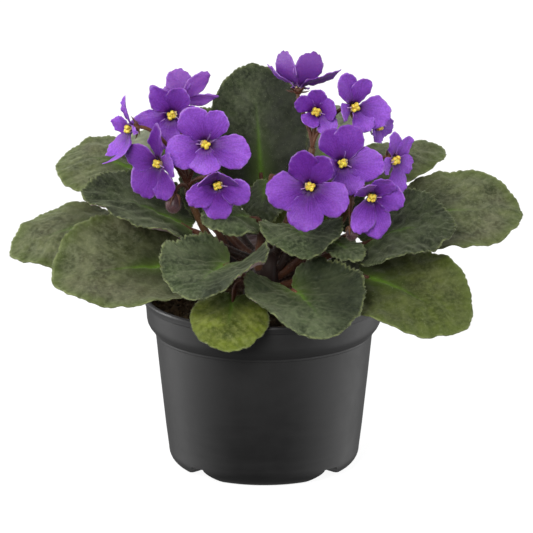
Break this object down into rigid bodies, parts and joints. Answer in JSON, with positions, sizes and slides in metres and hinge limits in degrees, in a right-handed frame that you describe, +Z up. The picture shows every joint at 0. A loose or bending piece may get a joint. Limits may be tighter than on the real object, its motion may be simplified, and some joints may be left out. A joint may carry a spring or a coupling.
{
  "type": "potted african violet",
  "caption": "African violet in a round nursery pot: a rosette of broad hairy leaves under short sprays of purple flowers with yellow anthers.",
  "frame": {"origin": "on the surface that the pot stands on, below the middle of the plant's outline", "axes": "+Z up along the pot's axis, -Y towards the front of the plant, +X to its right"},
  "size_m": [0.2244, 0.1459, 0.1845],
  "materials": {
    "pot_plastic": "black polypropylene, satin, with fine turning marks",
    "potting_soil": "loose dark peat, matt and crumbly",
    "stems": "fleshy reddish brown stalks with pale hairs",
    "leaves": "quilted olive green blades with fine pale hairs, purplish brown below",
    "petals": "velvety violet with darker veins towards the throat",
    "anthers": "waxy yellow",
    "buds": "brownish purple, hairy"
  },
  "bodies": {
    "root": {"pot": "pot_plastic", "soil": "potting_soil", "crown_and_stems": "stems", "leaf_blade_outer_left": "leaves", "leaf_blade_front_left": "leaves", "leaf_blade_upper_left": "leaves", "leaf_blade_rear_left_small": "leaves", "leaf_blade_middle_left": "leaves", "leaf_blade_tall_centre": "leaves", "leaf_blade_inner_dark": "leaves", "leaf_blade_inner_left": "leaves", "leaf_blade_front_heart_left": "leaves", "leaf_blade_front_heart": "leaves", "leaf_blade_front_low": "leaves", "leaf_blade_front_right": "leaves", "leaf_blade_middle_right": "leaves", "leaf_blade_outer_right": "leaves", "leaf_blade_upper_right": "leaves", "leaf_blade_rear_pale": "leaves", "leaf_blade_centre_low": "leaves", "leaf_blade_inner_right": "leaves", "leaf_blade_inner_bright": "leaves", "leaf_blade_behind_left": "leaves", "leaf_blade_low_right": "leaves", "leaf_blade_behind_right": "leaves", "leaf_blade_rear_centre_left": "leaves", "leaf_blade_back_left": "leaves", "leaf_blade_back": "leaves", "leaf_blade_back_right": "leaves", "corolla_left_side": "petals", "anthers_left_side": "anthers", "corolla_left_rear": "petals", "anthers_left_rear": "anthers", "corolla_left_top": "petals", "anthers_left_top": "anthers", "corolla_left_front": "petals", "anthers_left_front": "anthers", "corolla_left_large": "petals", "anthers_left_large": "anthers", "corolla_left_low": "petals", "anthers_left_low": "anthers", "corolla_top": "petals", "anthers_top": "anthers", "corolla_rear_small": "petals", "anthers_rear_small": "anthers", "corolla_right_rear": "petals", "anthers_right_rear": "anthers", "corolla_right_hidden": "petals", "anthers_right_hidden": "anthers", "corolla_right_side": "petals", "anthers_right_side": "anthers", "corolla_right_middle": "petals", "anthers_right_middle": "anthers", "corolla_right_large": "petals", "anthers_right_large": "anthers", "corolla_right_low": "petals", "anthers_right_low": "anthers", "bud_left": "buds", "bud_right": "buds"}
  },
  "joints": []
}
